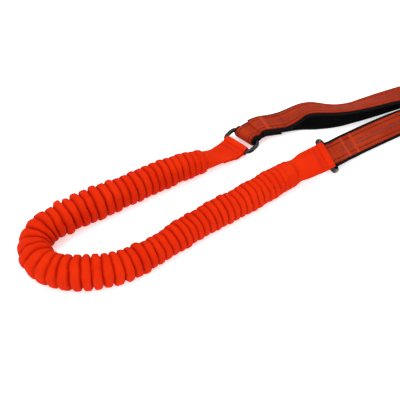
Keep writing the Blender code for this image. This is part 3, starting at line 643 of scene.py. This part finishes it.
def loop_round(bar, away, across, radius, half_gap, lead, steps=40):
    """Middles of a strip that comes back under itself, goes round a bar and leaves it along away."""
    normal = np.cross(across, away)
    turns = np.radians(np.linspace(155, -155, steps) + 180)
    curve = [bar + radius * (math.cos(a) * away + math.sin(a) * normal) for a in turns]
    below, above = bar + lead * away - half_gap * normal, bar + lead * away + half_gap * normal
    if (curve[0] - bar) @ normal > 0:
        curve = curve[::-1]
    share = np.linspace(0, 1, 6)[:-1, None]
    start = below + (curve[0] - below) * (3 * share**2 - 2 * share**3) ** 0.8
    stop = above + (curve[-1] - above) * (3 * share**2 - 2 * share**3) ** 0.8
    return [*start, *curve, *stop[::-1]]


def flat_section(middle, across, normal, width, thickness, sides):
    """A section between an ellipse, when it is thick, and a rounded strip, when it is thin."""
    power = 0.45 + 0.55 * min(1.0, thickness / 0.018)
    turns = 2 * math.pi * (np.arange(sides) + 0.5) / sides
    x = np.copysign(np.abs(np.cos(turns)) ** power, np.cos(turns))
    y = np.copysign(np.abs(np.sin(turns)) ** power, np.sin(turns))
    return middle + x[:, None] * across * width / 2 + y[:, None] * normal * thickness / 2


def sleeve_end(side, route, cloth):
    """The sleeve's flat end: out of the round sleeve, round the ring's bar and sewn to itself."""
    ring_middle, across, short, _ = ring_frame(side)
    _, heading, roll, _ = RINGS[side]
    bar = ring_middle - short * BAR_SPACING / 2
    run = np.array([math.cos(math.radians(heading)), math.sin(math.radians(heading)), 0])
    normal = np.cross(across, run)
    line, diameters = sleeve_line(0.010)
    i, beside = (0, 1) if side == "a" else (-1, -2)
    out = line[i] - line[beside]
    out /= np.linalg.norm(out)
    neck = 0.84 if side == "a" else 1.0
    mouth = [
        (*(line[i] + out * reach), 0, diameters[i] * share * neck, diameters[i] * share * neck)
        for reach, share in ((-0.004, 0.93), (0.0005, 0.95), (0.004, 0.92))
    ]
    radius = RING_WIRE / 2 + 0.0003 + END_THICKNESS / 2
    half_gap = (END_THICKNESS + GAP) / 2
    loop = loop_round(bar, -run, -across, radius, half_gap, END_LEAD)[::-1]
    if (loop[0] - bar) @ normal < 0:
        loop = loop[::-1]
    first = (*loop[0], roll, END_WIDTH, END_THICKNESS)
    rows = through([*mouth, *route, first], END_STEP)
    lead = rows[:-1]
    back = distances(lead[::-1, :3])
    under = lead[::-1][back < END_TAIL - END_LEAD]
    tail_runs = tangents(lead[:, :3])[::-1][: len(under)]
    tail_widths = [width_direction(t, r[3]) for t, r in zip(tail_runs, under)]
    tail = [
        r[:3] - np.cross(wide, t) * (r[5] / 2 + GAP + END_THICKNESS / 2)
        for r, wide, t in zip(under, tail_widths, tail_runs)
    ]
    middles = np.array([*lead[:, :3], *loop, *tail])
    sizes = [*lead[:, 4:6], *[(END_WIDTH, END_THICKNESS)] * len(loop)]
    sizes += [(TAIL_SHARE * r[4], END_THICKNESS) for r in under]
    rolls = [*lead[:, 3]]
    runs = tangents(middles)
    widths = [width_direction(t, r) for t, r in zip(runs, rolls)] + [across] * len(loop) + tail_widths
    along = distances(middles)
    rings, uv = [], []
    turns = 2 * math.pi * (np.arange(END_SIDES) + 0.5) / END_SIDES
    for k, (m, wdir, t, (width, thick)) in enumerate(zip(middles, widths, runs, sizes)):
        up = np.cross(wdir, t)
        up /= np.linalg.norm(up)
        ring = flat_section(m, wdir, up, width, thick, END_SIDES)
        rings.append(ring)
        uv.append(np.column_stack([np.cos(turns) * width / 2, np.full(END_SIDES, along[k])]))
    faces = grid_faces(len(rings), END_SIDES)
    last = (len(rings) - 1) * END_SIDES
    faces += [tuple(range(END_SIDES))[::-1], tuple(range(last, last + END_SIDES))]
    made = piece(f"sleeve_end_cloth_{side}", np.concatenate(rings), faces, cloth, uv=np.concatenate(uv))
    outward(made)
    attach(made, f"end_{side}")
    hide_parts(f"sleeve_end_{side}")
    top = bar + normal * (half_gap + END_THICKNESS / 2)
    return top, run, across, normal


# ---------------------------------------------------------------- rings


def oblong_ring(side, steel):
    middle, across, short, _ = ring_frame(side)
    x, y = (RING_INNER_LONG + RING_WIRE) / 2 - RING_CORNER, BAR_SPACING / 2 - RING_CORNER
    line, steps = [], 14
    for sx, sy, start in ((1, 1, 0), (-1, 1, 90), (-1, -1, 180), (1, -1, 270)):
        for k in range(steps + 1):
            a = math.radians(start + 90 * k / steps)
            line.append((sx * x + RING_CORNER * math.cos(a), sy * y + RING_CORNER * math.sin(a)))
    centres = np.array([middle + u * across + v * short for u, v in line])
    axis = np.cross(across, short)
    sides, rings = 28, []
    turns = 2 * math.pi * np.arange(sides) / sides
    for k, centre in enumerate(centres):
        run = centres[(k + 1) % len(centres)] - centres[k - 1]
        out = np.cross(run / np.linalg.norm(run), axis)
        rings.append(centre + RING_WIRE / 2 * (np.cos(turns)[:, None] * out + np.sin(turns)[:, None] * axis))
    made = piece(
        f"ring_wire_{side}", np.concatenate(rings), grid_faces(len(rings), sides, closed_rows=True), steel
    )
    outward(made)
    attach(made, f"ring_{side}")
    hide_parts(f"ring_{side}")


# ---------------------------------------------------------------- straps


def strip_section(width, thickness, steps=10):
    """A webbing's cross section, offsets across and up: flat faces between round selvages."""
    edge = thickness / 2
    inner = width / 2 - edge
    right = [(inner + edge * math.cos(a), edge * math.sin(a)) for a in np.radians(np.linspace(-90, 90, 7))]
    left = [(-u, -v) for u, v in right]
    top = [(inner * (1 - 2 * k / steps), edge) for k in range(1, steps)]
    bottom = [(-u, -v) for u, v in top]
    return np.array([*right, *top, *left, *bottom])


def ribbon(name, middles, widths, width, thickness, finish_, offset=0.0):
    """A strip of webbing along its middles, moved by offset along its upper face's normal."""
    shape = strip_section(width, thickness)
    runs = tangents(middles)
    along = distances(np.array(middles))
    rings, uv = [], []
    for middle, across, run, far in zip(middles, widths, runs, along):
        normal = np.cross(across, run)
        normal /= np.linalg.norm(normal)
        centre = middle + offset * normal
        rings.append(centre + shape[:, :1] * across + shape[:, 1:] * normal)
        uv.append(np.column_stack([shape[:, 0], np.full(len(shape), far)]))
    n = len(shape)
    faces = grid_faces(len(rings), n)
    last = (len(rings) - 1) * n
    faces += [tuple(range(n))[::-1], tuple(range(last, last + n))]
    return outward(piece(name, np.concatenate(rings), faces, finish_, uv=np.concatenate(uv)))


def strap_stations(side, route):
    """Middles and width directions from the ring tail, round both bars, to the hook tail."""
    middle, ring_across, short, ring_run = ring_frame(side)
    ring_bar = middle + short * BAR_SPACING / 2
    eye, heading = HOOKS[side]
    hook_bar = np.array(eye)
    hook_run = np.array([math.cos(math.radians(heading)), math.sin(math.radians(heading)), 0])
    hook_across = width_direction(hook_run, 0)
    half_gap = (WEBBING_THICKNESS + GAP) / 2
    ring_radius = RING_WIRE / 2 + BAR_CLEARANCE + WEBBING_THICKNESS / 2
    half_bar = (EYE_LENGTH - EYE_SLOT_LENGTH) / 4
    hook_radius = math.hypot(half_bar, HOOK_THICKNESS / 2) + BAR_CLEARANCE + WEBBING_THICKNESS / 2
    first = loop_round(ring_bar, ring_run, ring_across, ring_radius, half_gap, 0.009)
    last = loop_round(hook_bar, -hook_run, hook_across, hook_radius, half_gap, 0.015)
    if (first[0] - first[-1]) @ np.cross(ring_across, ring_run) > 0:
        first = first[::-1]
    if (last[0] - last[-1]) @ np.cross(hook_across, hook_run) < 0:
        last = last[::-1]
    rolls = [r[3] for r in route]
    rows = through([(*first[-1], rolls[0]), *route, (*last[0], rolls[-1])], STRAP_STEP)
    main = rows[:, :3]
    runs = tangents(main)
    main_widths = [width_direction(t, r) for t, r in zip(runs, rows[:, 3])]
    main_widths[0], main_widths[-1] = ring_across, hook_across
    along = distances(main)
    normals = [np.cross(w, t) for w, t in zip(main_widths, runs)]
    below = [m - 2 * half_gap * n for m, n in zip(main, normals)]
    near = [i for i, s in enumerate(along) if 0 < s <= STRAP_TAIL][::-1]
    far = [i for i, s in enumerate(along) if along[-1] - STRAP_TAIL <= s < along[-1]][::-1]
    middles = [below[i] for i in near] + first[:-1] + [*main] + last[1:] + [below[i] for i in far]
    widths = (
        [main_widths[i] for i in near]
        + [ring_across] * (len(first) - 1)
        + main_widths
        + [hook_across] * (len(last) - 1)
        + [main_widths[i] for i in far]
    )
    start = len(near) + len(first) - 1
    return np.array(middles), widths, start, start + len(main)


def handle_stations(main, widths):
    """The grab handle's middles and width directions, on and above strap a's webbing."""
    runs = tangents(main)
    along = distances(main)
    count = round((HANDLE_END - HANDLE_START) / STRAP_STEP) + 1
    stretch = np.linspace(HANDLE_START, HANDLE_END, count)
    profile = np.array(HANDLE_PROFILE)
    lift, lean, roll = (smooth(np.interp(stretch, profile[:, 0], profile[:, k]), 5) for k in (1, 2, 3))
    widths = np.array(widths)
    made, made_widths = [], []
    for k, s in enumerate(stretch):
        middle, run, across = (
            np.array([np.interp(s, along, rows[:, c]) for c in range(3)]) for rows in (main, runs, widths)
        )
        normal = np.cross(across, run)
        made.append(middle + (WEBBING_THICKNESS + GAP + lift[k]) * normal + lean[k] * across)
        made_widths.append(across)
    made = np.array(made)
    for k, run in enumerate(tangents(made)):
        if abs(roll[k]) > 0.05:
            made_widths[k] = width_direction(run, roll[k])
    return made, made_widths


def folded_over(main, widths, height):
    """A strip's path a height above its middles, turned down over both cut ends."""
    runs = tangents(main)
    normals = [np.cross(across, run) for across, run in zip(widths, runs)]
    normals = [n / np.linalg.norm(n) for n in normals]
    path = [m + height * n for m, n in zip(main, normals)]
    folds = []
    for k, way in ((0, -1), (-1, 1)):
        turn = [(height * math.sin(a), height * math.cos(a)) for a in np.radians((30, 60, 90))]
        turn.append((height, -WEBBING_THICKNESS / 2))
        folds.append([main[k] + way * out * runs[k] + up * normals[k] for out, up in turn])
    widths = list(widths)
    count = len(folds[0])
    return np.array(folds[0][::-1] + path + folds[1]), widths[:1] * count + widths + widths[-1:] * count


def face_line(middles, widths, aside, height):
    """A line on a strip's upper face at a distance from its middle, with the face's normals."""
    runs = tangents(middles)
    points, ups = [], []
    for middle, across, run in zip(middles, widths, runs):
        normal = np.cross(across, run)
        normal /= np.linalg.norm(normal)
        points.append(middle + across * aside + normal * height)
        ups.append(normal)
    return np.array(points), np.array(ups)


def part_of(points, ups, low, high):
    along = distances(points)
    stations = np.arange(low, min(high, along[-1]), 0.001)
    take = lambda rows: np.column_stack([np.interp(stations, along, rows[:, k]) for k in range(3)])
    return take(points), take(ups)


def across_line(middles, widths, far, half, height):
    """A line straight across a strip's upper face, that far along it."""
    points, ups = face_line(middles, widths, 0, height)
    along = distances(points)
    k = min(int(np.searchsorted(along, far)), len(points) - 1)
    return points[k] + np.linspace(-half, half, 21)[:, None] * widths[k], np.repeat(ups[k][None], 21, 0)


def sewn(name, lines, tree, finish_, body, pitch=0.0028, length=0.0023, width=0.0007, height=0.0005,
         keep=1.0, seed=3):
    """Threads along several lines, as one piece on one body."""
    points, edges, ups = [], [], []
    for line, up in lines:
        first = len(points)
        points.extend(line)
        ups.extend(up)
        edges.extend((first + k, first + k + 1) for k in range(len(line) - 1))
    mesh = bpy.data.meshes.new(name)
    mesh.from_pydata([tuple(p) for p in points], edges, [])
    normal = mesh.attributes.new("up", "FLOAT_VECTOR", "POINT")
    normal.data.foreach_set("vector", np.array(ups, float).ravel())
    thing = bpy.data.objects.new(name, mesh)
    bpy.context.scene.collection.objects.link(thing)
    use_tree(
        thing,
        tree,
        {"Pitch": pitch, "Length": length, "Width": width, "Height": height, "Keep": keep, "Seed": seed,
         "Finish": finish_},
    )
    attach(thing, body)


def straps(finishes, tree):
    on_top = (WEBBING_THICKNESS + TRACER_THICKNESS) / 2 + GAP
    tracer_top = on_top + TRACER_THICKNESS / 2
    for side, route in (("a", STRAP_A_ROUTE), ("b", STRAP_B_ROUTE)):
        body = f"strap_{side}"
        middles, widths, start, stop = strap_stations(side, route)
        webbing = ribbon(
            f"strap_webbing_{side}", middles, widths, WEBBING_WIDTH, WEBBING_THICKNESS, finishes["webbing"]
        )
        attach(webbing, body)
        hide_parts(f"strap_{side}_webbing")
        beyond = start + int(np.searchsorted(distances(middles[start:stop]), HANDLE_END + COVER_GAP))
        round_eye = stop + LOOP_STATIONS
        if side == "b":
            covers = [("", 0, round_eye)]
        else:
            covers = [("_far", beyond, round_eye), ("_near", 0, start + 2)]
        for part, first, last in covers:
            cover = middles[first:last]
            tracer = ribbon(
                f"strap_tracer_{side}{part}", cover, widths[first:last], TRACER_WIDTH, TRACER_THICKNESS,
                finishes["tracer"], offset=on_top,
            )
            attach(tracer, body)
            if part != "_near":
                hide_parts(f"strap_{side}_tracer")
        main, main_widths = middles[start:stop], widths[start:stop]
        if side == "a":
            main, main_widths = handle_stations(main, main_widths)
            handle = ribbon(
                "handle_webbing", main, main_widths, WEBBING_WIDTH, WEBBING_THICKNESS, finishes["webbing"]
            )
            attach(handle, body)
            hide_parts("grab_handle_webbing")
            folded, folded_widths = folded_over(main, main_widths, on_top)
            top = ribbon(
                "handle_tracer", folded, folded_widths, TRACER_WIDTH, TRACER_THICKNESS,
                finishes["tracer"],
            )
            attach(top, body)
            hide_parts("grab_handle_tracer")
        middle_lines, edge_lines, hem_lines = (
            [face_line(main, main_widths, way * aside, tracer_top) for way in (-1, 1)]
            for aside in (YARN_ASIDE, SIDE_YARN_ASIDE, HEM_ASIDE)
        )
        far = distances(main)[-1]
        runs = [*YARN_RUNS, (0.027, far - 0.004)]
        sewn(
            f"tracer_yarn_{side}",
            [part_of(*line, low, high) for line in middle_lines for low, high in runs],
            tree, finishes["yarn"], body,
            pitch=0.0024, length=0.0020, width=0.0013, height=0.0004, keep=0.9,
        )
        sewn(
            f"side_yarn_{side}",
            [part_of(*line, 0.002, far - 0.004) for line in edge_lines],
            tree, finishes["dark_thread"], body,
            pitch=0.0024, length=0.0015, width=0.0007, height=0.0003, keep=0.8, seed=5,
        )
        sewn(
            f"edge_stitches_{side}", [part_of(*line, 0.001, far - 0.002) for line in hem_lines],
            tree, finishes["orange_thread"], body,
            pitch=0.0029, length=0.0023, width=0.0007, height=0.0005,
        )
        tacks = [across_line(main, main_widths, s, TACK_HALF, tracer_top) for s in TACKS[side]]
        sewn(
            f"bar_tacks_{side}", tacks, tree, finishes["orange_thread"], body,
            pitch=0.0008, length=0.0009, width=0.0042, height=0.0007, seed=7,
        )
        box = [across_line(main, main_widths, s, BOX_HALF, tracer_top) for s in BOXES[side]]
        low, high = BOXES[side]
        sides = [face_line(main, main_widths, aside, tracer_top) for aside in (-BOX_HALF, BOX_HALF)]
        box += [part_of(*line, low, high) for line in sides]
        sewn(
            f"box_stitches_{side}", box, tree, finishes["black_thread"], body,
            pitch=0.0029, length=0.0022, width=0.0008, height=0.0006, seed=9,
        )


# ---------------------------------------------------------------- snap hooks


def rounded(name, node, body, slot, finish_, voxel, passes):
    """A forging or pressing with soft edges, in place of its sharp edged node."""
    mesh = bpy.data.meshes.new(name)
    source = node.evaluated_get(bpy.context.evaluated_depsgraph_get()).to_mesh()
    turn = node.matrix_world
    points = [tuple(turn @ v.co) for v in source.vertices]
    mesh.from_pydata(points, [], [tuple(f.vertices) for f in source.polygons])
    work = bmesh.new()
    work.from_mesh(mesh)
    bmesh.ops.remove_doubles(work, verts=work.verts, dist=1e-7)
    bmesh.ops.recalc_face_normals(work, faces=work.faces)
    work.to_mesh(mesh)
    work.free()
    mesh.materials.append(finish_)
    thing = bpy.data.objects.new(name, mesh)
    bpy.context.scene.collection.objects.link(thing)
    remesh = thing.modifiers.new("solid", "REMESH")
    remesh.mode, remesh.voxel_size, remesh.use_smooth_shade = "VOXEL", voxel, True
    soften = thing.modifiers.new("edges", "SMOOTH")
    soften.factor, soften.iterations = 0.5, passes
    lighten = thing.modifiers.new("lighten", "DECIMATE")
    lighten.ratio = KEPT_FACES
    baked(thing)
    thing.data.materials.clear()
    thing.data.materials.append(finish_)
    thing.data.polygons.foreach_set("use_smooth", [True] * len(thing.data.polygons))
    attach(thing, body)
    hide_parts(node.name)


# ---------------------------------------------------------------- everything


def build():
    camera()
    studio()
    cloth = gathered_polyester()
    finishes = {
        "webbing": black_webbing(),
        "tracer": tracer_webbing(),
        "yarn": thread("reflective_yarn", (0.040, 0.030, 0.038), 0.5),
        "dark_thread": thread("dark_yarn", (0.045, 0.020, 0.020)),
        "orange_thread": thread("orange_thread", (0.50, 0.040, 0.007)),
        "black_thread": thread("black_thread", (0.02, 0.018, 0.02)),
        "red_thread": thread("red_thread", (0.50, 0.012, 0.003)),
    }
    gathered_sleeve(cloth)
    stitches = stitching_tree()
    for side, route in (("a", END_A_ROUTE), ("b", END_B_ROUTE)):
        top, run, across, normal = sleeve_end(side, route, cloth)
        spread = np.linspace(-END_ROW_HALF, END_ROW_HALF, 21)[:, None] * across
        rows = [(top - reach * run + spread, np.repeat(normal[None], 21, 0)) for reach in END_ROWS]
        sewn(
            f"end_stitches_{side}", rows, stitches, finishes["red_thread"], f"end_{side}",
            pitch=0.0009, length=0.0008, width=0.0017, height=0.0005, seed=11,
        )
        oblong_ring(side, metal(f"black_steel_{side}", (0.008, 0.008, 0.009), 0.34, 0.5, 0.15))
    straps(finishes, stitches)
    forged = metal("forged_steel", (0.30, 0.30, 0.31), 0.42, 1.0, 0.25)
    pressed = metal("pressed_steel", (0.42, 0.40, 0.34), 0.34, 1.0, 0.12)
    rivet = metal("rivet_steel", (0.40, 0.40, 0.41), 0.38, 1.0, 0.15)
    rubber = thread("elastic_cover", (0.55, 0.47, 0.33))
    polyester = thread("safety_webbing", (0.7, 0.7, 0.67))
    for name, made in {
        "elastic_cord_inner": rubber, "elastic_cord_outer": rubber, "safety_webbing": polyester,
        **{f"{lever}_pin_{s}": rivet for lever in ("gate", "lever") for s in "ab"},
        **{f"{lever}_spring_{s}": rivet for lever in ("gate", "lever") for s in "ab"},
    }.items():
        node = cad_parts[name]
        if not node.material_slots:
            node.data.materials.append(made)
        node.material_slots[0].material = made
    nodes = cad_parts
    forging = ("forged_steel", forged, FORGING_VOXEL, 7)
    pressing = ("plated_steel", pressed, PRESSING_VOXEL, 2)
    for s in "ab":
        rounded(f"forged_hook_{s}", nodes[f"hook_body_{s}"], f"hook_{s}", *forging)
        rounded(f"pressed_gate_{s}", nodes[f"gate_{s}"], f"gate_{s}", *pressing)
        rounded(f"pressed_lever_{s}", nodes[f"lock_lever_{s}"], f"lock_{s}", *pressing)


build()
